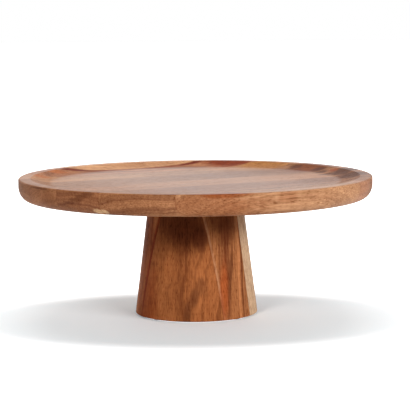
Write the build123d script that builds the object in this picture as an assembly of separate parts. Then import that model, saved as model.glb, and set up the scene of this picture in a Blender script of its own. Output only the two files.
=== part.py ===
from build123d import *
import os
from math import sqrt

# Cake stand in oiled acacia: a shallow dished plate, turned from edge-glued boards, that screws
# onto a tapered pedestal, turned from face-glued slabs. A steel hanger bolt stands out of the
# pedestal's top and turns into a threaded insert in the plate's underside. Four felt pads under
# the foot carry the stand.
#
# Millimetres, +Z up. The origin is the centre of the foot, on the table.

# Plate
PLATE_RADIUS = 152.5
PLATE_THICKNESS = 18.3
RIM_WIDTH = 10.5  # flat land round the top
RIM_EDGE_RADIUS = 1.4  # eased outer corner of the land
DISH_DEPTH = 4.6
COVE_WIDTH = 23.4  # from the land's inner corner to the dish's flat floor
WALL_HEIGHT = 6.7  # upright part of the outer wall, below the top
UNDERCUT_WIDTH = 9.0  # how far the rounded lower corner reaches inwards
BOARD_ANGLE = 28.5  # direction the boards run in, from +X
BOARD_WIDTHS = (28.4, 33.6, 36.5, 48.3, 43.7, 41.4, 46.4, 26.7)  # from the back-left edge

# Pedestal
PEDESTAL_HEIGHT = 100.7
FOOT_RADIUS = 53.1
NECK_RADIUS = 40.4
FOOT_EDGE_RADIUS = 0.8
RECESS_RADIUS = 35.0  # hollow turned under the foot, so that it stands on its outer ring
RECESS_DEPTH = 1.5
SLAB_THICKNESS = 26.8
SLAB_COUNT = 5
SLAB_ANGLE = -108.5  # direction the front slab's face looks in, from +X
FRONT_SEAM = 37.8  # distance of the frontmost glue line from the axis

# Felt pads
PAD_RADIUS = 6.0
PAD_THICKNESS = 1.0
PAD_COUNT = 4
PAD_RING_RADIUS = 43.8
PAD_FIRST_ANGLE = 45.0

# M8 hanger bolt and threaded insert. The threads are plain cylinders at their major diameter.
BOLT_RADIUS = 4.0
BOLT_LENGTH = 50.0
BOLT_CHAMFER = 0.8
BOLT_POINT_LENGTH = 6.0  # tapered point of the wood-screw end
BOLT_POINT_RADIUS = 0.8
THREAD_PITCH = 1.25
TURNS_ENGAGED = 6.5
THREAD_CLEARANCE = 0.05  # radial
INSERT_LENGTH = 9.0
INSERT_RADIUS = 6.0
FLANGE_RADIUS = 8.0
FLANGE_THICKNESS = 1.0
DRIVE_ACROSS_FLATS = 8.6  # hexagon socket that drives the insert into the wood
DRIVE_DEPTH = 3.0

FOOT_Z = PAD_THICKNESS
UNDERSIDE_Z = FOOT_Z + PEDESTAL_HEIGHT
TOP_Z = UNDERSIDE_Z + PLATE_THICKNESS
DISH_Z = TOP_Z - DISH_DEPTH
BOLT_TOP_Z = UNDERSIDE_Z + TURNS_ENGAGED * THREAD_PITCH


def turned(edges, eased_corner=None, easing=0):
    """The solid that a closed outline of (radius, height) edges sweeps round the Z axis."""
    outline = make_face(edges)
    if eased_corner:
        corner = outline.vertices().sort_by_distance(eased_corner)[0]
        outline = fillet(corner, easing)
    return revolve(Plane.XZ * outline, Axis.Z)


def slice_between(solid, angle, low, high):
    """What lies between two upright planes at distances low and high along a direction."""
    reach = 4 * PLATE_RADIUS
    slab = Pos((low + high) / 2, 0, 0) * Box(high - low, reach, reach)
    return solid & (Rot(0, 0, angle) * slab)


def plate_blank():
    """The turned plate in one piece: flat land, cove, flat floor and rounded lower corner."""
    land_radius = PLATE_RADIUS - RIM_WIDTH
    floor_radius = land_radius - COVE_WIDTH
    base_radius = PLATE_RADIUS - UNDERCUT_WIDTH
    wall_z = TOP_Z - WALL_HEIGHT
    # The cove leaves the floor tangentially and meets the land at an angle.
    cove_radius = (COVE_WIDTH**2 + DISH_DEPTH**2) / (2 * DISH_DEPTH)
    cove_half_rise = cove_radius - sqrt(cove_radius**2 - (COVE_WIDTH / 2) ** 2)
    cove_middle = (floor_radius + COVE_WIDTH / 2, DISH_Z + cove_half_rise)
    outline = [
        Line((0, UNDERSIDE_Z), (base_radius, UNDERSIDE_Z)),
        EllipticalCenterArc(
            (base_radius, wall_z), UNDERCUT_WIDTH, wall_z - UNDERSIDE_Z, 270, arc_size=90
        ),
        Line((PLATE_RADIUS, wall_z), (PLATE_RADIUS, TOP_Z)),
        Line((PLATE_RADIUS, TOP_Z), (land_radius, TOP_Z)),
        ThreePointArc((land_radius, TOP_Z), cove_middle, (floor_radius, DISH_Z)),
        Line((floor_radius, DISH_Z), (0, DISH_Z)),
        Line((0, DISH_Z), (0, UNDERSIDE_Z)),
    ]
    return turned(outline, (PLATE_RADIUS, TOP_Z), RIM_EDGE_RADIUS)


def pedestal_blank():
    """The turned pedestal in one piece: a tapered cone with an eased foot and a hollow under it."""
    outline = Polyline(
        (0, FOOT_Z + RECESS_DEPTH),
        (RECESS_RADIUS, FOOT_Z + RECESS_DEPTH),
        (RECESS_RADIUS, FOOT_Z),
        (FOOT_RADIUS, FOOT_Z),
        (NECK_RADIUS, UNDERSIDE_Z),
        (0, UNDERSIDE_Z),
        close=True,
    )
    return turned(outline, (FOOT_RADIUS, FOOT_Z), FOOT_EDGE_RADIUS)


def hanger_bolt():
    """Wood-screw end with a tapered point below, machine-thread stud above."""
    point_z = BOLT_TOP_Z - BOLT_LENGTH
    outline = Polyline(
        (0, point_z),
        (BOLT_POINT_RADIUS, point_z),
        (BOLT_RADIUS, point_z + BOLT_POINT_LENGTH),
        (BOLT_RADIUS, BOLT_TOP_Z - BOLT_CHAMFER),
        (BOLT_RADIUS - BOLT_CHAMFER, BOLT_TOP_Z),
        (0, BOLT_TOP_Z),
        close=True,
    )
    return turned(outline)


def insert_blank():
    """The insert without its bore, which is also the hole that it fills in the plate."""
    outline = Polyline(
        (0, UNDERSIDE_Z),
        (FLANGE_RADIUS, UNDERSIDE_Z),
        (FLANGE_RADIUS, UNDERSIDE_Z + FLANGE_THICKNESS),
        (INSERT_RADIUS, UNDERSIDE_Z + FLANGE_THICKNESS),
        (INSERT_RADIUS, UNDERSIDE_Z + INSERT_LENGTH),
        (0, UNDERSIDE_Z + INSERT_LENGTH),
        close=True,
    )
    return turned(outline)


def threaded_insert():
    """Flanged insert with its bore and the hexagon socket that drives it in."""
    upwards = (Align.CENTER, Align.CENTER, Align.MIN)
    bore = Pos(0, 0, UNDERSIDE_Z) * Cylinder(
        BOLT_RADIUS + THREAD_CLEARANCE, INSERT_LENGTH, align=upwards
    )
    hexagon = RegularPolygon(DRIVE_ACROSS_FLATS / 2, 6, major_radius=False)
    socket = Pos(0, 0, UNDERSIDE_Z) * extrude(hexagon, DRIVE_DEPTH)
    return insert_blank() - bore - socket


def felt_pads():
    """Separate round pads on a ring under the foot."""
    ring = PolarLocations(PAD_RING_RADIUS, PAD_COUNT, start_angle=PAD_FIRST_ANGLE)
    pad = Cylinder(PAD_RADIUS, PAD_THICKNESS, align=(Align.CENTER, Align.CENTER, Align.MIN))
    return Compound(children=[Pos(place.position) * pad for place in ring])


def plate_boards():
    """The plate's boards, numbered from the back-left edge, with the insert's hole cut in them."""
    blank = plate_blank() - insert_blank()
    boards = {}
    high = PLATE_RADIUS
    for number, width in enumerate(BOARD_WIDTHS, start=1):
        boards[f"plate_board_{number}"] = slice_between(blank, BOARD_ANGLE + 90, high - width, high)
        high -= width
    return boards


def pedestal_slabs():
    """The pedestal's slabs, numbered from the front, with the hanger bolt's hole cut in them."""
    blank = pedestal_blank() - hanger_bolt()
    slabs = {}
    for index in range(SLAB_COUNT):
        low = FRONT_SEAM - index * SLAB_THICKNESS
        slabs[f"pedestal_slab_{index + 1}"] = slice_between(
            blank, SLAB_ANGLE, low, low + SLAB_THICKNESS
        )
    return slabs


nodes = {
    **plate_boards(),
    **pedestal_slabs(),
    "threaded_insert": threaded_insert(),
    "hanger_bolt": hanger_bolt(),
    "felt_pads": felt_pads(),
}

os.makedirs("parts", exist_ok=True)
for name, shape in nodes.items():
    export_step(shape, f"parts/{name}.step")
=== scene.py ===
from math import atan2, cos, degrees, pi, radians, sin, sqrt

import bmesh
import bpy
from mathutils import Euler, Matrix, Vector


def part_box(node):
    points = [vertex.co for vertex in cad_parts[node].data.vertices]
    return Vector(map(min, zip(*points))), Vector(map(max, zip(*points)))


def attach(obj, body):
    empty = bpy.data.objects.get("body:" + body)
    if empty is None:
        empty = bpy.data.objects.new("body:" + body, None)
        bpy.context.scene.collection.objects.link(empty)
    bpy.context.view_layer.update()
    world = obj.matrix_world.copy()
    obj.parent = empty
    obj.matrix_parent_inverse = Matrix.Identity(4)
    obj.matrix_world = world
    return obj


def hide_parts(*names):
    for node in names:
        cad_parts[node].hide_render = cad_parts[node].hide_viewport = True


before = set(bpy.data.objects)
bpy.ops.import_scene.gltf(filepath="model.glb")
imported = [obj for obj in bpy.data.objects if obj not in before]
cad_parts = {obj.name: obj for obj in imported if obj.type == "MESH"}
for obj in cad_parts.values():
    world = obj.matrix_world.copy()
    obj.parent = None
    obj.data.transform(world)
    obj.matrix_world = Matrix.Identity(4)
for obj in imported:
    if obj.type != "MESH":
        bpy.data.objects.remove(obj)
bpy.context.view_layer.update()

# The looks of an oiled acacia cake stand. The plate's boards and the pedestal's slabs are rebuilt
# from the turned outlines and cut at the glue lines. Each piece of wood has its own stretch of
# grain, worked out from where it lay in the log. Metres, apart from the wood patterns, which are
# in millimetres.

# --- Sizes and settings ------------------------------------------------------------------------

MILLIMETRES = 1000.0  # in a metre
UNDERSIDE_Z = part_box("plate_board_4")[0].z
TOP_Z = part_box("plate_board_4")[1].z
FOOT_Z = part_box("pedestal_slab_3")[0].z
BOLT_POINT_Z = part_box("hanger_bolt")[0].z
BOLT_TOP_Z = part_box("hanger_bolt")[1].z
INSERT_TOP_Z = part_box("threaded_insert")[1].z

PLATE_RADIUS = 0.1525
RIM_WIDTH = 0.0105
RIM_EDGE_RADIUS = 0.0014
LAND_EDGE_RADIUS = 0.0010
DISH_DEPTH = 0.0046
COVE_WIDTH = 0.0234
WALL_HEIGHT = 0.0067
UNDERCUT_WIDTH = 0.0090
BOARD_ANGLE = radians(28.5)
BOARD_WIDTHS = (0.0284, 0.0336, 0.0365, 0.0483, 0.0437, 0.0414, 0.0464, 0.0267)

FOOT_RADIUS = 0.0531
NECK_RADIUS = 0.0404
FOOT_EDGE_RADIUS = 0.0008
RECESS_RADIUS = 0.035
RECESS_DEPTH = 0.0015
SLAB_ANGLE = radians(-108.5)
SLAB_THICKNESS = 0.0268
FRONT_SEAM = 0.0378

BOLT_RADIUS = 0.004
BOLT_POINT_RADIUS = 0.0008
BOLT_POINT_LENGTH = 0.006
BOLT_CHAMFER = 0.0008
STUD_PITCH = 0.00125
STUD_THREAD_DEPTH = 0.0007
SCREW_PITCH = 0.0032
SCREW_THREAD_DEPTH = 0.0009
SHANK_LENGTH = 0.004  # plain part between the two threads, just below the pedestal's top
INSERT_RADIUS = 0.006
FLANGE_RADIUS = 0.008
FLANGE_THICKNESS = 0.001
BORE_RADIUS = 0.00405
BORE_THREAD_DEPTH = 0.0005  # cut outwards from the bore
DRIVE_ACROSS_FLATS = 0.0086
DRIVE_DEPTH = 0.003
PAD_RADIUS = 0.006
PAD_EDGE_RADIUS = 0.0003
PAD_RING_RADIUS = 0.0438
PAD_COUNT = 4
PAD_FIRST_ANGLE = radians(45)

TURNED_SEGMENTS = 360
GUARD = 0.002  # how far inside a flat's edge an extra ring keeps the flat shading flat
SHARP_ANGLE = radians(32)
ROWS_A_TURN = 12  # of a fine thread's mesh

LOOK_AT_Z = 0.060
CAMERA_DISTANCE = 1.418
CAMERA_ELEVATION = radians(8.022)
CAMERA_LENS = 143.14  # millimetres, on a sensor 36 mm wide
CAMERA_TURN = Euler((radians(90 - 6.653), 0, radians(-0.33)))
CAMERA_ROLL = radians(-0.461)

FLOOR_REACH = 14.0
UNDER_FOOT_RADIUS = 0.050
SHADOW_CENTRE = (0, -0.03, 0)  # of the oval outside which the camera sees the floor as white
SHADOW_RADII = (0.25, 0.15, 1)
SHADOW_FADE = (0.7, 1.08)  # where it turns white, as shares of the radii
WHITE = (1, 1, 1, 1)
FLOOR_COLOUR = (0.9, 0.9, 0.9, 1)
FLOOR_PAINTED_GLOW = (0.075, 0.12, 0.138, 1)  # a painted glow that only the camera sees on the floor; it evens out the wood's own red light there
BACKDROP = 0.9  # strength of the light from behind
MIRRORED_ROOM = 0.35  # strength of the white that glossy faces mirror

END_GRAIN_TINT = (0.82, 0.74, 0.68, 1)
GLUE_LINE_TINT = (0.82, 0.74, 0.70, 1)
PLATE_GLOSS = 0.07
PLATE_SHEEN = 0.28
PEDESTAL_GLOSS = 0.02


# --- Node graphs -------------------------------------------------------------------------------

class Graph:
    """A material's or world's nodes, with short calls that add a node and join its inputs."""

    def __init__(self, owner):
        owner.use_nodes = True
        self.tree = owner.node_tree
        self.shader = self.tree.nodes.get("Principled BSDF")

    def join(self, socket, value):
        if isinstance(value, bpy.types.NodeSocket):
            self.tree.links.new(value, socket)
        else:
            socket.default_value = value

    def surface(self, inputs):
        """Sets or joins the shader's inputs, by name."""
        for key, value in inputs.items():
            self.join(self.shader.inputs[key], value)

    def add(self, kind, inputs=None, output=0, **settings):
        node = self.tree.nodes.new(kind)
        for key, value in settings.items():
            setattr(node, key, value)
        for key, value in (inputs or {}).items():
            self.join(node.inputs[key], value)
        return node.outputs[output]

    def math(self, operation, *values):
        return self.add("ShaderNodeMath", dict(enumerate(values)), operation=operation)

    def vector(self, operation, *values, output=0):
        return self.add(
            "ShaderNodeVectorMath", dict(enumerate(values)), output=output, operation=operation
        )

    def smooth(self, value, low, high):
        """0 at low, 1 at high, eased between them."""
        return self.add(
            "ShaderNodeMapRange",
            {"Value": value, "From Min": low, "From Max": high},
            interpolation_type="SMOOTHSTEP",
        )

    def spread(self, value, amount):
        """A pattern that runs from 0 to 1, moved to swing by amount either side of zero."""
        return self.math("MULTIPLY", self.math("SUBTRACT", value, 0.5), 2 * amount)

    def point(self, x, y, z):
        return self.add("ShaderNodeCombineXYZ", {0: x, 1: y, 2: z})

    def noise(self, where, detail=2.0, roughness=0.5):
        return self.add(
            "ShaderNodeTexNoise",
            {"Vector": where, "Scale": 1.0, "Detail": detail, "Roughness": roughness},
        )

    def mix(self, share, first, second, blend="MIX"):
        """Colours mixed by share. Names of the sockets repeat on this node, so they go by number."""
        return self.add(
            "ShaderNodeMix",
            {0: share, 6: first, 7: second},
            output=2,
            data_type="RGBA",
            blend_type=blend,
        )

    def ramp(self, value, *stops):
        """Colours along a value, each stop a (place, colour) pair."""
        colour = self.add("ShaderNodeValToRGB", {0: value})
        elements = colour.node.color_ramp.elements
        while len(elements) < len(stops):
            elements.new(0.5)
        for element, (place, shade) in zip(elements, stops):
            element.position = place
            element.color = shade
        return colour


# --- Turned wood -------------------------------------------------------------------------------

def arc(centre, radius_across, radius_up, start, end, steps):
    """Outline points round part of an ellipse, from start to end in degrees, both included."""
    points = []
    for step in range(steps + 1):
        angle = radians(start + (end - start) * step / steps)
        points.append((centre[0] + radius_across * cos(angle), centre[1] + radius_up * sin(angle)))
    return points


def plate_outline():
    """(radius, height) points from the insert's pocket, round the rim, to the middle of the dish."""
    pocket_z = UNDERSIDE_Z + FLANGE_THICKNESS
    base_radius = PLATE_RADIUS - UNDERCUT_WIDTH
    wall_z = TOP_Z - WALL_HEIGHT
    dish_z = TOP_Z - DISH_DEPTH
    floor_radius = PLATE_RADIUS - RIM_WIDTH - COVE_WIDTH
    cove_radius = (COVE_WIDTH**2 + DISH_DEPTH**2) / (2 * DISH_DEPTH)
    # The eased corner touches the flat land above and the hollow cove beside it.
    drop = dish_z + cove_radius - (TOP_Z - LAND_EDGE_RADIUS)
    reach = sqrt((cove_radius + LAND_EDGE_RADIUS) ** 2 - drop**2)
    touch = degrees(atan2(drop, -reach))
    ease = (floor_radius + reach, TOP_Z - LAND_EDGE_RADIUS)
    edge = (PLATE_RADIUS - RIM_EDGE_RADIUS, TOP_Z - RIM_EDGE_RADIUS)
    cove = (floor_radius, dish_z + cove_radius)
    return (
        [(INSERT_RADIUS, INSERT_TOP_Z), (INSERT_RADIUS, pocket_z)]
        + [(FLANGE_RADIUS, pocket_z), (FLANGE_RADIUS, UNDERSIDE_Z)]
        + [(base_radius - GUARD, UNDERSIDE_Z)]
        + arc((base_radius, wall_z), UNDERCUT_WIDTH, wall_z - UNDERSIDE_Z, -90, 0, 24)
        + arc(edge, RIM_EDGE_RADIUS, RIM_EDGE_RADIUS, 0, 90, 8)
        + arc(ease, LAND_EDGE_RADIUS, LAND_EDGE_RADIUS, 90, touch, 5)
        + arc(cove, cove_radius, cove_radius, touch - 180, -90, 20)[1:]
        + [(floor_radius - GUARD, dish_z)]
    )


def pedestal_outline():
    """(radius, height) points from the foot's hollow, up the cone and down the bolt's hole."""
    slope = atan2(FOOT_RADIUS - NECK_RADIUS, UNDERSIDE_Z - FOOT_Z)
    # The eased edge touches the flat of the foot and the cone.
    inset = FOOT_EDGE_RADIUS * (1 + sin(slope)) / cos(slope)
    ease = (FOOT_RADIUS - inset, FOOT_Z + FOOT_EDGE_RADIUS)
    return (
        [(RECESS_RADIUS, FOOT_Z + RECESS_DEPTH), (RECESS_RADIUS, FOOT_Z)]
        + arc(ease, FOOT_EDGE_RADIUS, FOOT_EDGE_RADIUS, -90, degrees(slope), 6)
        + [(NECK_RADIUS, UNDERSIDE_Z), (BOLT_RADIUS, UNDERSIDE_Z)]
        + [(BOLT_RADIUS, BOLT_POINT_Z + BOLT_POINT_LENGTH), (BOLT_POINT_RADIUS, BOLT_POINT_Z)]
    )


def circle(radius, height, steps, centre=(0, 0)):
    """Points round an upright axis."""
    points = []
    for step in range(steps):
        angle = 2 * pi * step / steps
        points.append((centre[0] + radius * cos(angle), centre[1] + radius * sin(angle), height))
    return points


def swept(rows):
    """A closed bmesh through rows of points, each row one ring, with a face over each end."""
    piece = bmesh.new()
    rings = [[piece.verts.new(point) for point in row] for row in rows]
    for lower, upper in zip(rings, rings[1:]):
        for step in range(len(lower)):
            after = (step + 1) % len(lower)
            piece.faces.new((lower[step], lower[after], upper[after], upper[step]))
    piece.faces.new(rings[0])
    piece.faces.new(rings[-1])
    return piece


def turned_blank(outline):
    """A closed bmesh swept round the Z axis, with a disc at each end of its outline."""
    blank = swept([circle(radius, height, TURNED_SEGMENTS) for radius, height in outline])
    bmesh.ops.recalc_face_normals(blank, faces=blank.faces)
    return blank


def finish_piece(piece, name, body, material):
    """Makes an object of a closed bmesh that stands for the CAD node of the same name."""
    bmesh.ops.recalc_face_normals(piece, faces=piece.faces)
    mesh = bpy.data.meshes.new(name)
    for face in piece.faces:
        face.smooth = True
    piece.to_mesh(mesh)
    piece.free()
    mesh.set_sharp_from_angle(angle=SHARP_ANGLE)
    mesh.materials.append(material)
    thing = bpy.data.objects.new(name + "_finish", mesh)
    bpy.context.scene.collection.objects.link(thing)
    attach(thing, body)
    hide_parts(name)


def slice_between(blank, angle, low, high):
    """What is left of a blank between two upright planes, closed again where it was cut."""
    piece = blank.copy()
    across = Vector((cos(angle), sin(angle), 0))
    for distance, outward in ((low, -across), (high, across)):
        cut = bmesh.ops.bisect_plane(
            piece,
            geom=piece.verts[:] + piece.edges[:] + piece.faces[:],
            dist=1e-7,
            plane_co=distance * across,
            plane_no=outward,
            clear_outer=True,
        )
        rim = [item for item in cut["geom_cut"] if isinstance(item, bmesh.types.BMEdge)]
        if rim:
            bmesh.ops.edgeloop_fill(piece, edges=rim)
    return piece


# --- Camera, floor and light -------------------------------------------------------------------

def make_camera():
    """A long lens a little above the rim, which sees the stand slightly left of and below centre."""
    data = bpy.data.cameras.new("camera")
    data.sensor_width = 36.0
    data.lens = CAMERA_LENS
    data.clip_end = 100.0
    camera = bpy.data.objects.new("camera", data)
    away = Vector((0, -cos(CAMERA_ELEVATION), sin(CAMERA_ELEVATION)))
    place = Vector((0, 0, LOOK_AT_Z)) + CAMERA_DISTANCE * away
    aim = CAMERA_TURN.to_matrix().to_4x4() @ Matrix.Rotation(CAMERA_ROLL, 4, "Z")
    camera.matrix_world = Matrix.Translation(place) @ aim
    bpy.context.scene.collection.objects.link(camera)
    bpy.context.scene.camera = camera


def make_floor():
    """A wide white floor that can't be seen from below. Far off, the camera sees it as pure white.

    It has a clear patch that the foot hides, so that light from below reaches the foot.
    """
    corners = [(-1, -1), (1, -1), (1, 1), (-1, 1)]
    mesh = bpy.data.meshes.new("floor")
    mesh.from_pydata([(FLOOR_REACH * x, FLOOR_REACH * y, 0) for x, y in corners], [], [(0, 1, 2, 3)])
    material = bpy.data.materials.new("floor_white")
    graph = Graph(material)
    place = graph.add("ShaderNodeTexCoord", output="Object")
    from_middle = graph.vector("LENGTH", place, output="Value")
    shaded = graph.vector("DIVIDE", graph.vector("SUBTRACT", place, SHADOW_CENTRE), SHADOW_RADII)
    far = graph.smooth(graph.vector("LENGTH", shaded, output="Value"), *SHADOW_FADE)
    under_foot = graph.math("LESS_THAN", from_middle, UNDER_FOOT_RADIUS)
    seen = graph.add("ShaderNodeLightPath", output="Is Camera Ray")
    below = graph.add("ShaderNodeNewGeometry", output="Backfacing")
    clear = graph.math("MAXIMUM", below, under_foot)
    # For the camera the floor glows: a faint painted glow inside the oval, turning to pure white far
    # off.
    graph.surface({
        "Base Color": FLOOR_COLOUR,
        "Roughness": 0.7,
        "Specular IOR Level": 0.2,
        "Emission Color": graph.mix(far, FLOOR_PAINTED_GLOW, WHITE),
        "Emission Strength": seen,
        "Alpha": graph.math("SUBTRACT", 1, clear),
    })
    mesh.materials.append(material)
    floor = bpy.data.objects.new("floor", mesh)
    bpy.context.scene.collection.objects.link(floor)


def make_softbox(name, azimuth, elevation, distance, width, height, power):
    """A softbox that faces the stand's middle, and that nothing mirrors.

    Azimuth 0 is the camera's side, 90 its right.
    """
    data = bpy.data.lights.new(name, "AREA")
    data.shape = "RECTANGLE"
    data.size = width
    data.size_y = height
    data.energy = power
    light = bpy.data.objects.new(name, data)
    angle = radians(azimuth)
    rise = radians(elevation)
    away = Vector((sin(angle) * cos(rise), -cos(angle) * cos(rise), sin(rise)))
    light.location = Vector((0, 0, LOOK_AT_Z)) + distance * away
    light.rotation_euler = away.to_track_quat("Z", "Y").to_euler()
    light.visible_glossy = False
    bpy.context.scene.collection.objects.link(light)


def make_world():
    """A white backdrop: light comes from behind the stand, and the camera sees white all round.

    Some light also comes from below, for the foot, and glossy faces mirror a dim white room.
    """
    world = bpy.data.worlds.new("studio")
    graph = Graph(world)
    background = world.node_tree.nodes["Background"]
    direction = graph.add("ShaderNodeTexCoord", output="Generated")
    backwards = graph.add("ShaderNodeSeparateXYZ", {0: direction}, output="Y")
    upwards = graph.add("ShaderNodeSeparateXYZ", {0: direction}, output="Z")
    seen = graph.add("ShaderNodeLightPath", output="Is Camera Ray")
    mirrored = graph.add("ShaderNodeLightPath", output="Is Glossy Ray")
    behind = graph.math("MULTIPLY", graph.smooth(backwards, -0.3, 0.6), BACKDROP)
    below = graph.smooth(upwards, 0.0, -0.4)
    lit = graph.math("MAXIMUM", graph.math("MAXIMUM", behind, below), seen)
    lit = graph.math("MAXIMUM", lit, graph.math("MULTIPLY", mirrored, MIRRORED_ROOM))
    graph.join(background.inputs["Color"], WHITE)
    graph.join(background.inputs["Strength"], lit)
    bpy.context.scene.world = world


# --- Wood --------------------------------------------------------------------------------------

def srgb(red, green, blue):
    """A linear colour from a screen colour of 0 to 255 a channel."""
    levels = []
    for level in (red, green, blue):
        share = level / 255
        levels.append(share / 12.92 if share <= 0.04045 else ((share + 0.055) / 1.055) ** 2.4)
    return (*levels, 1.0)


def tones(red, green, blue, swing):
    """Dark, middle and light shades of a wood. The dark one is also redder."""
    dark = srgb(red * (1 - swing), green * (1 - 1.35 * swing), blue * (1 - 1.5 * swing))
    light = srgb(red * (1 + 0.55 * swing), green * (1 + 0.65 * swing), blue * (1 + 0.75 * swing))
    return dark, srgb(red, green, blue), light


class GrainPlace:
    """Where a point lies in the tree, in millimetres: along the grain, across it and through."""

    def __init__(self, graph, grain, across, seed):
        self.graph = graph
        self.seed = seed
        coordinates = graph.add("ShaderNodeTexCoord", output="Object")
        place = graph.vector("MULTIPLY", coordinates, (MILLIMETRES, MILLIMETRES, MILLIMETRES))
        directions = (grain, across, grain.cross(across))
        self.parts = [graph.vector("DOT_PRODUCT", place, way, output="Value") for way in directions]
        self.vector = graph.point(*self.parts)

    def noise(self, length, width, shift, detail=2.0, roughness=0.5):
        """Noise with spots length millimetres along the grain and width across it."""
        along = self.graph.math("MULTIPLY_ADD", self.parts[0], 1 / length, self.seed * 7.3 + shift)
        across = self.graph.math("MULTIPLY_ADD", self.parts[1], 1 / width, self.seed * 3.1)
        through = self.graph.math("MULTIPLY_ADD", self.parts[2], 1 / width, shift)
        return self.graph.noise(self.graph.point(along, across, through), detail, roughness)


def growth_rings(graph, place, pith, sway):
    """Millimetres from the log's wandering centre, rippled by up to sway."""
    wander = graph.spread(place.noise(length=170, width=900, shift=0, detail=1), 26)
    ripple = place.noise(length=55, width=22, shift=4, detail=3, roughness=0.55)
    ripple = graph.spread(ripple, sway)
    aside = graph.math("ADD", graph.math("SUBTRACT", place.parts[1], pith[0]), wander)
    above = graph.math("SUBTRACT", place.parts[2], pith[1])
    distance = graph.vector("LENGTH", graph.point(aside, above, 0), output="Value")
    return graph.math("ADD", distance, ripple)


def add_marks(graph, place, colour, marks):
    """The colour with ragged-edged patches laid over it, in turn."""
    for centre, radii, tint, strength in marks:
        offset = graph.vector("DIVIDE", graph.vector("SUBTRACT", place.vector, centre), radii)
        ragged = place.noise(length=30, width=7, shift=11, detail=3, roughness=0.6)
        distance = graph.vector("LENGTH", offset, output="Value")
        distance = graph.math("ADD", distance, graph.spread(ragged, 0.4))
        share = graph.math("MULTIPLY", graph.smooth(distance, 1.2, 0.5), strength)
        colour = graph.mix(share, colour, tint)
    return colour


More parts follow.
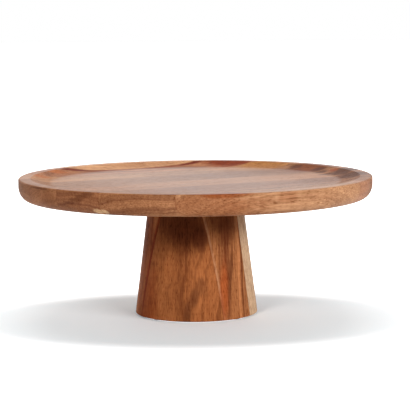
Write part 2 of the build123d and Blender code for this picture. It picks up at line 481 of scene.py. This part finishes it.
def make_wood(
    name, grain, across, edges, pith, colours, seed, ring, gloss, sway=4.0, sheen=0.0, marks=()
):
    """Oiled acacia cut from a log. Every length is in millimetres.

    grain and across are unit directions, along the fibres and over the piece's width, and edges
    are the glued faces' distances along across. pith is the log's centre, across and through.
    colours are the (dark, middle, light) tones, ring the spacing of the colour bands, and sway how
    far they wander. seed picks the stretch of grain. gloss is the specular level, and sheen a pale
    bloom on faces that look straight up. marks are (centre, radii, colour, strength) patches,
    their centres and radii measured along the grain, across it and through.
    """
    material = bpy.data.materials.new(name)
    graph = Graph(material)
    place = GrainPlace(graph, grain, across, seed)
    rings = growth_rings(graph, place, pith, sway)

    def banded(spacing, length, shift, detail=2.0, roughness=0.5):
        """Noise that follows the rings, spacing millimetres a band and length long."""
        out = graph.math("MULTIPLY", rings, 1 / spacing)
        along = graph.math("MULTIPLY", place.parts[0], 1 / length)
        return graph.noise(graph.point(out, along, seed * 1.7 + shift), detail, roughness)

    broad = banded(ring, length=420, shift=0)
    bands = banded(ring / 3.4, length=240, shift=5, detail=4, roughness=0.62)
    tone = graph.math("ADD", graph.spread(broad, 0.5), graph.spread(bands, 0.42))
    dark, middle, light = colours
    colour = graph.ramp(
        graph.math("ADD", tone, 0.5), (0.28, dark), (0.50, middle), (0.72, light)
    )

    # Thin dark lines that end a season's growth.
    line = banded(ring * 1.3, length=800, shift=9, detail=2, roughness=0.4)
    line = graph.math("ABSOLUTE", graph.spread(line, 1))
    colour = graph.mix(graph.math("MULTIPLY", graph.smooth(line, 0.05, 0.01), 0.4), colour, dark)
    colour = add_marks(graph, place, colour, marks)

    # Figure, streaks, fibres, ripples across the grain, and open pores.
    figure = place.noise(length=13, width=5.5, shift=6, detail=3, roughness=0.6)
    streaks = place.noise(length=48, width=1.4, shift=17, detail=3, roughness=0.6)
    fibres = place.noise(length=15, width=0.8, shift=2, detail=2, roughness=0.6)
    ripples = place.noise(length=2.4, width=10, shift=21, detail=2, roughness=0.5)
    crowded = graph.smooth(banded(ring / 2, length=300, shift=13, detail=1), 0.3, 0.65)
    open_pores = graph.smooth(place.noise(length=6, width=0.75, shift=8, detail=1), 0.57, 0.68)
    pores = graph.math("MULTIPLY", open_pores, graph.math("MULTIPLY_ADD", crowded, 0.65, 0.35))
    shade = graph.math("MULTIPLY", pores, -0.42)
    for pattern, amount in ((figure, 0.15), (fibres, 0.50), (streaks, 0.48), (ripples, 0.18)):
        shade = graph.math("ADD", shade, graph.spread(pattern, amount))
    # Dark parts lose more green and blue than red.
    tinted = graph.vector("MULTIPLY", graph.point(shade, shade, shade), (0.86, 1.05, 1.18))
    colour = graph.vector("MULTIPLY", colour, graph.vector("ADD", tinted, (1, 1, 1)))

    # The ends of the fibres soak up oil and look darker, and so does the glue line.
    facing = graph.add("ShaderNodeTexCoord", output="Normal")
    ends = graph.math("ABSOLUTE", graph.vector("DOT_PRODUCT", facing, grain, output="Value"))
    soaked = graph.smooth(ends, 0.35, 0.95)
    colour = graph.mix(soaked, colour, END_GRAIN_TINT, "MULTIPLY")
    to_low = graph.math("SUBTRACT", place.parts[1], edges[0])
    to_high = graph.math("SUBTRACT", edges[1], place.parts[1])
    glue = graph.smooth(graph.math("MINIMUM", to_low, to_high), 0.4, 0.1)
    colour = graph.mix(glue, colour, GLUE_LINE_TINT, "MULTIPLY")

    roughness = graph.math("MULTIPLY_ADD", figure, 0.16, 0.31)
    roughness = graph.math("MULTIPLY_ADD", pores, 0.25, roughness)
    roughness = graph.math("MULTIPLY_ADD", soaked, 0.08, roughness)
    relief = graph.math("MULTIPLY_ADD", pores, -1.0, graph.math("MULTIPLY", fibres, 0.5))
    bump = graph.add("ShaderNodeBump", {"Strength": 0.35, "Distance": 0.00012, "Height": relief})

    # The cove is less glossy than the faces that look straight up or sideways.
    upwards = graph.add("ShaderNodeSeparateXYZ", {0: facing}, output="Z")
    flat = graph.smooth(upwards, 0.990, 0.9993)
    sloping = graph.math("SUBTRACT", graph.smooth(upwards, 0.5, 0.9), flat)
    shine = graph.math("MULTIPLY", graph.math("MULTIPLY_ADD", sloping, -0.5, 1), gloss)
    # The bloom fades towards the ends of the boards.
    worn = graph.smooth(graph.math("ABSOLUTE", place.parts[0]), 30, 120)
    bloom = graph.math("MULTIPLY", graph.math("MULTIPLY_ADD", worn, -0.5, 1), sheen)
    graph.surface({
        "Base Color": colour,
        "Roughness": roughness,
        "Normal": bump,
        "Specular IOR Level": shine,
        "Sheen Weight": graph.math("MULTIPLY", flat, bloom),
        "Sheen Roughness": 0.3,
    })
    return material


# Tones of the streaks and patches. At the pedestal's top some of them also paint shade.
NEAR_BLACK = srgb(72, 31, 15)
# Dark brown that also paints shade at the top of the pedestal.
DARK_BROWN_AND_SHADE = srgb(84, 40, 18)
DEEP_BROWN = srgb(92, 50, 28)
PURPLE_BROWN = srgb(82, 42, 24)
MID_BROWN = srgb(122, 74, 44)
WARM_BROWN = srgb(120, 62, 28)
WARM_RED = srgb(122, 56, 20)
DEEP_RED = srgb(106, 36, 14)
RED_BROWN = srgb(122, 50, 20)
ORANGE_RED = srgb(146, 66, 28)
ORANGE = srgb(168, 92, 42)
HONEY = srgb(166, 108, 52)
TAN = srgb(172, 124, 90)
ROSE_TAN = srgb(206, 150, 120)
PALE = srgb(200, 162, 122)
SAPWOOD = srgb(188, 156, 124)


def make_plate():
    """The eight boards of the plate, from the back-left edge to the front-right one."""
    grain = Vector((cos(BOARD_ANGLE), sin(BOARD_ANGLE), 0))
    across = Vector((-sin(BOARD_ANGLE), cos(BOARD_ANGLE), 0))
    looks = (
        dict(
            colours=tones(192, 142, 102, 0.14),
            pith=(190, -60),
            seed=1,
            ring=9,
            marks=(
                # Red wood along the glue line, deepest on the left.
                ((-62, 125, 118), (18, 2.2, 8), DEEP_RED, 0.9),
                ((0, 124, 116), (110, 2.2, 40), RED_BROWN, 0.6),
            ),
        ),
        dict(
            colours=tones(166, 110, 74, 0.24),
            pith=(112, -30),
            seed=2,
            ring=10,
            marks=(
                # A red patch on the rim at the back, and an orange one in the cove on the left.
                ((92, 103, 119.5), (32, 25, 5.5), RED_BROWN, 1.0),
                ((-82, 112, 118.5), (16, 7, 3), ORANGE, 0.85),
                # Red wood along the glue line, deepest in two places.
                ((0, 124, 116), (110, 4.0, 40), RED_BROWN, 0.75),
                ((-62, 122.8, 118), (20, 3.0, 8), DEEP_RED, 0.95),
                ((62, 122.5, 118), (18, 3.4, 8), DEEP_RED, 0.95),
            ),
        ),
        dict(
            colours=tones(160, 112, 76, 0.22),
            pith=(40, -80),
            seed=3,
            ring=12,
            marks=(
                # Honey-coloured and orange ends, and a rosy rim on the left.
                ((119, 74, 119), (34, 26, 7), HONEY, 0.8),
                ((-108, 83, 118.5), (16, 8, 3), ORANGE, 0.8),
                ((-134, 60, 120.5), (26, 40, 2.2), ROSE_TAN, 0.15),
            ),
        ),
        dict(
            colours=tones(156, 108, 74, 0.18),
            pith=(26, -45),
            seed=21,
            ring=13,
            marks=(
                # A brown right end with dark knots in it, and a rosy rim on the left.
                ((138, 26, 118), (26, 24, 8), WARM_BROWN, 0.95),
                ((131, 46, 118), (12, 4, 2), DEEP_BROWN, 0.6),
                ((133, 9, 117.5), (10, 9, 3), NEAR_BLACK, 0.7),
                ((128, 41, 117.6), (11, 5, 2.4), NEAR_BLACK, 0.65),
                ((-142, 30, 120.5), (24, 40, 2.2), ROSE_TAN, 0.15),
            ),
        ),
        dict(
            colours=tones(152, 103, 70, 0.18),
            pith=(-60, -50),
            seed=5,
            ring=10,
            marks=(
                # A dark right end with an orange spot between two knots.
                ((138, -28, 118), (22, 20, 5), PURPLE_BROWN, 0.9),
                ((136, -9, 118.2), (7, 6, 2.4), ORANGE_RED, 0.75),
                ((128, -1, 116.8), (9, 7, 2.6), NEAR_BLACK, 0.7),
                ((123, -17, 115.8), (10, 5, 1.8), NEAR_BLACK, 0.65),
                # A dark streak under the rim and browner wood on the left wall.
                ((-151.5, -14, 118.7), (20, 16, 0.9), DEEP_BROWN, 0.7),
                ((-150, -26, 111), (14, 13, 8), MID_BROWN, 0.5),
            ),
        ),
        dict(
            colours=tones(146, 97, 66, 0.22),
            pith=(-56, -25),
            seed=6,
            ring=9,
            marks=(
                # A dark right end.
                ((126, -58, 118), (16, 26, 5), PURPLE_BROWN, 0.85),
                # A dark vein that slopes down the left wall.
                ((-135, -71, 118.6), (20, 7, 1.8), DEEP_BROWN, 0.6),
                ((-138, -65, 115.9), (20, 7, 1.9), DEEP_BROWN, 0.6),
                ((-140, -59, 113), (20, 7, 1.9), DEEP_BROWN, 0.55),
                ((-143, -53, 110.3), (20, 7, 1.8), DEEP_BROWN, 0.5),
                ((-146, -45, 107.5), (20, 7, 1.5), DEEP_BROWN, 0.4),
                # A pale fleck low on the wall, which goes on in the next board.
                ((-131, -76.5, 104.6), (16, 4.0, 2.4), PALE, 0.95),
            ),
        ),
        dict(
            colours=tones(146, 99, 67, 0.18),
            pith=(-130, -55),
            seed=7,
            ring=6,
            marks=(
                # A rosy right end, and a browner rim above it.
                ((94, -119, 117), (32, 16, 16), ROSE_TAN, 0.3),
                ((97, -104, 120.2), (14, 14, 1.6), MID_BROWN, 0.65),
                # The rest of the pale fleck.
                ((-128, -81.5, 104.6), (16, 3.0, 2.2), PALE, 0.9),
            ),
        ),
        dict(
            colours=tones(165, 120, 86, 0.11),
            pith=(-215, 20),
            seed=8,
            ring=5,
            sway=1.5,
            marks=(
                # Browner wood on the left, and a red streak under the rim.
                ((-52, -136, 111), (80, 18, 16), WARM_BROWN, 0.6),
                ((-52, -144, 118.8), (24, 12, 2.4), WARM_RED, 0.7),
            ),
        ),
    )
    blank = turned_blank(plate_outline())
    high = PLATE_RADIUS
    for number, (width, look) in enumerate(zip(BOARD_WIDTHS, looks), start=1):
        name = f"plate_board_{number}"
        low = high - width
        edges = (low * MILLIMETRES, high * MILLIMETRES)
        wood = make_wood(
            name + "_wood", grain, across, edges, gloss=PLATE_GLOSS, sheen=PLATE_SHEEN, **look
        )
        board = slice_between(blank, BOARD_ANGLE + pi / 2, low, high)
        finish_piece(board, name, "plate", wood)
        high = low
    blank.free()


def make_pedestal():
    """The five slabs of the pedestal, from the front to the back, their grain upright."""
    upright = Vector((0, 0, 1))
    across = Vector((cos(SLAB_ANGLE), sin(SLAB_ANGLE), 0))
    looks = (
        dict(
            colours=tones(134, 78, 43, 0.28),
            pith=(-10, 70),
            seed=11,
            ring=12,
            sway=9,
            marks=(
                # Dark wood at the top: partly the wood's own dark figure, partly painted shade under
                # the plate.
                ((90, 40, 0), (34, 40, 24), NEAR_BLACK, 0.85),
                ((72, 40, 18), (12, 30, 8), NEAR_BLACK, 0.8),
                # A dark streak that slopes up from the foot.
                ((10, 50, 9), (10, 20, 4), DEEP_BROWN, 0.7),
                ((20, 49, 14), (9, 20, 4), DEEP_BROWN, 0.7),
                ((30, 48, 19), (9, 20, 4), DEEP_BROWN, 0.55),
                # Redder wood low on the left.
                ((10, 40, -32), (44, 22, 16), RED_BROWN, 0.55),
            ),
        ),
        dict(
            colours=tones(151, 94, 56, 0.32),
            pith=(60, 20),
            seed=12,
            ring=7,
            marks=(
                # Darker wood at the top, partly painted shade under the plate, and redder wood on
                # the left.
                ((98, 26, 32), (34, 20, 18), DARK_BROWN_AND_SHADE, 0.8),
                ((60, 30, -36), (100, 14, 18), WARM_RED, 0.6),
                # The glue line: deep red on the left, pale on the right.
                ((50, 37.8, -30), (70, 2.2, 32), DEEP_RED, 0.85),
                ((50, 37.8, 30), (70, 1.5, 28), TAN, 0.5),
                ((8, 37.8, 28), (36, 4, 12), TAN, 0.6),
                # An orange streak and a thin dark one beside the sapwood.
                ((20, 34, 36), (36, 8, 4), ORANGE_RED, 0.7),
                ((45, 27, 40), (60, 6, 1.1), DEEP_BROWN, 0.75),
            ),
        ),
        dict(
            colours=tones(154, 104, 66, 0.24),
            pith=(-60, 30),
            seed=13,
            ring=9,
            marks=(
                # Sapwood, with a darker tan at the top that is painted shade under the plate.
                ((50, 0, 62), (110, 34, 44), SAPWOOD, 0.95),
                ((96, 0, 62), (18, 34, 44), TAN, 0.5),
            ),
        ),
        dict(colours=tones(132, 78, 44, 0.28), pith=(-40, -50), seed=14, ring=10),
        dict(colours=tones(138, 88, 54, 0.26), pith=(10, -60), seed=15, ring=12),
    )
    blank = turned_blank(pedestal_outline())
    high = FRONT_SEAM + SLAB_THICKNESS
    for number, look in enumerate(looks, start=1):
        name = f"pedestal_slab_{number}"
        low = high - SLAB_THICKNESS
        edges = (low * MILLIMETRES, high * MILLIMETRES)
        wood = make_wood(name + "_wood", upright, across, edges, gloss=PEDESTAL_GLOSS, **look)
        slab = slice_between(blank, SLAB_ANGLE, low, high)
        finish_piece(slab, name, "pedestal", wood)
        high = low
    blank.free()


# --- Fastener and pads -------------------------------------------------------------------------

def make_metal(name, colour, stain, roughness):
    """Plated or plain metal with fine scratches round the axis and dull patches."""
    material = bpy.data.materials.new(name)
    graph = Graph(material)
    coordinates = graph.add("ShaderNodeTexCoord", output="Object")
    scratches = graph.noise(graph.vector("MULTIPLY", coordinates, (900, 900, 9000)), 3, 0.6)
    patches = graph.noise(graph.vector("MULTIPLY", coordinates, (420, 420, 420)), 3, 0.6)
    dull = graph.smooth(patches, 0.42, 0.68)
    rough = graph.math("MULTIPLY_ADD", scratches, 0.18, roughness)
    bump = graph.add("ShaderNodeBump", {"Strength": 0.3, "Distance": 0.00005, "Height": scratches})
    graph.surface({
        "Base Color": graph.mix(dull, colour, stain),
        "Metallic": 1.0,
        "Roughness": graph.math("MULTIPLY_ADD", dull, 0.14, rough),
        "Normal": bump,
    })
    return material


def make_felt(name):
    """Pressed brown felt, with tangled fibres."""
    material = bpy.data.materials.new(name)
    graph = Graph(material)
    coordinates = graph.add("ShaderNodeTexCoord", output="Object")
    tangle = graph.noise(graph.vector("MULTIPLY", coordinates, (2600, 2600, 2600)), 4, 0.7)
    bump = graph.add("ShaderNodeBump", {"Strength": 0.7, "Distance": 0.0002, "Height": tangle})
    graph.surface({
        "Base Color": graph.ramp(tangle, (0.35, srgb(46, 32, 24)), (0.65, srgb(92, 70, 56))),
        "Roughness": graph.math("MULTIPLY_ADD", tangle, 0.1, 0.88),
        "Specular IOR Level": 0.1,
        "Normal": bump,
    })
    return material


def thread_cut(height, angle, pitch):
    """How deep a right-hand thread is cut at a point, from 0 on its crest to 1 in its root."""
    turn = (height / pitch - angle / (2 * pi)) % 1
    slope = abs(2 * turn - 1) * 1.3 - 0.15
    return 1 - min(1, max(0, slope))


def make_bolt():
    """Hanger bolt with a coarse wood thread below and an M8 thread above."""
    steps = 48
    screw_top_z = UNDERSIDE_Z - SHANK_LENGTH
    point_end_z = BOLT_POINT_Z + BOLT_POINT_LENGTH
    chamfer_z = BOLT_TOP_Z - BOLT_CHAMFER
    length = BOLT_TOP_Z - BOLT_POINT_Z
    row_count = round(length / STUD_PITCH * ROWS_A_TURN)
    rows = []
    for index in range(row_count + 1):
        height = BOLT_POINT_Z + length * index / row_count
        outer = BOLT_RADIUS
        if height < point_end_z:
            share = (height - BOLT_POINT_Z) / BOLT_POINT_LENGTH
            outer = BOLT_POINT_RADIUS + share * (BOLT_RADIUS - BOLT_POINT_RADIUS)
        elif height > chamfer_z:
            outer = BOLT_RADIUS - (height - chamfer_z)
        row = []
        for step in range(steps):
            angle = 2 * pi * step / steps
            if height < screw_top_z:
                depth = SCREW_THREAD_DEPTH * min(1, outer / BOLT_RADIUS)
                root = outer - depth * thread_cut(height, angle, SCREW_PITCH)
            elif height > UNDERSIDE_Z:
                root = outer - STUD_THREAD_DEPTH * thread_cut(height, angle, STUD_PITCH)
            else:
                root = outer
            root = max(root, BOLT_POINT_RADIUS / 2)
            row.append((root * cos(angle), root * sin(angle), height))
        rows.append(row)
    steel = make_metal("zinc_plate", (0.60, 0.60, 0.58, 1), (0.42, 0.42, 0.41, 1), 0.28)
    finish_piece(swept(rows), "hanger_bolt", "pedestal", steel)


def make_insert():
    """Threaded insert: flange and body outside, hexagon socket and threaded bore inside."""
    steps = 96
    flange_z = UNDERSIDE_Z + FLANGE_THICKNESS
    socket_z = UNDERSIDE_Z + DRIVE_DEPTH
    outside = [(INSERT_RADIUS, INSERT_TOP_Z), (INSERT_RADIUS, flange_z)]
    outside += [(FLANGE_RADIUS, flange_z), (FLANGE_RADIUS, UNDERSIDE_Z)]
    angles = [2 * pi * step / steps for step in range(steps)]
    rows = [circle(radius, height, steps) for radius, height in outside]

    def hexagon_row(height):
        """Points round the hexagon socket."""
        row = []
        for angle in angles:
            from_flat = (angle + pi / 6) % (pi / 3) - pi / 6
            radius = DRIVE_ACROSS_FLATS / 2 / cos(from_flat)
            row.append((radius * cos(angle), radius * sin(angle), height))
        return row

    rows += [hexagon_row(UNDERSIDE_Z), hexagon_row(socket_z)]
    bore_length = INSERT_TOP_Z - socket_z
    bore_rows = round(bore_length / STUD_PITCH * ROWS_A_TURN)
    for index in range(bore_rows + 1):
        height = socket_z + bore_length * index / bore_rows
        row = []
        for angle in angles:
            radius = BORE_RADIUS
            if 0 < index < bore_rows:
                radius += BORE_THREAD_DEPTH * (1 - thread_cut(height, angle, STUD_PITCH))
            # The thread stays within the socket's flats.
            radius = min(radius, DRIVE_ACROSS_FLATS / 2)
            row.append((radius * cos(angle), radius * sin(angle), height))
        rows.append(row)
    piece = swept(rows)
    piece.faces.ensure_lookup_table()
    # The outside and the bore meet in a ring at the top instead of two end faces.
    bmesh.ops.delete(piece, geom=piece.faces[-2:], context="FACES_ONLY")
    ends = [edge for edge in piece.edges if edge.is_boundary]
    bmesh.ops.bridge_loops(piece, edges=ends)
    brass = make_metal("brass", (0.70, 0.52, 0.25, 1), (0.45, 0.33, 0.17, 1), 0.3)
    finish_piece(piece, "threaded_insert", "insert", brass)


def make_pads():
    """Four round felt pads under the foot, with softened edges."""
    steps = 64
    soft = PAD_RADIUS - PAD_EDGE_RADIUS
    outline = arc((soft, PAD_EDGE_RADIUS), PAD_EDGE_RADIUS, PAD_EDGE_RADIUS, -90, 0, 4)
    outline += arc((soft, FOOT_Z - PAD_EDGE_RADIUS), PAD_EDGE_RADIUS, PAD_EDGE_RADIUS, 0, 90, 4)
    pads = bmesh.new()
    for number in range(PAD_COUNT):
        around = PAD_FIRST_ANGLE + 2 * pi * number / PAD_COUNT
        centre = (PAD_RING_RADIUS * cos(around), PAD_RING_RADIUS * sin(around))
        pad = swept([circle(radius, height, steps, centre) for radius, height in outline])
        mesh = bpy.data.meshes.new("pad")
        pad.to_mesh(mesh)
        pad.free()
        pads.from_mesh(mesh)
        bpy.data.meshes.remove(mesh)
    finish_piece(pads, "felt_pads", "pedestal", make_felt("felt_fibres"))


# --- Assembly ----------------------------------------------------------------------------------

make_camera()
make_floor()
make_world()
make_softbox("key", azimuth=42, elevation=18, distance=2.0, width=1.5, height=0.4, power=35.5)
make_softbox("fill", azimuth=-25, elevation=24, distance=2.0, width=0.5, height=0.35, power=17)
make_softbox("top", azimuth=180, elevation=75, distance=1.5, width=1.0, height=1.0, power=11)
bpy.context.scene.view_settings.view_transform = "Standard"

make_plate()
make_pedestal()
make_bolt()
make_insert()
make_pads()
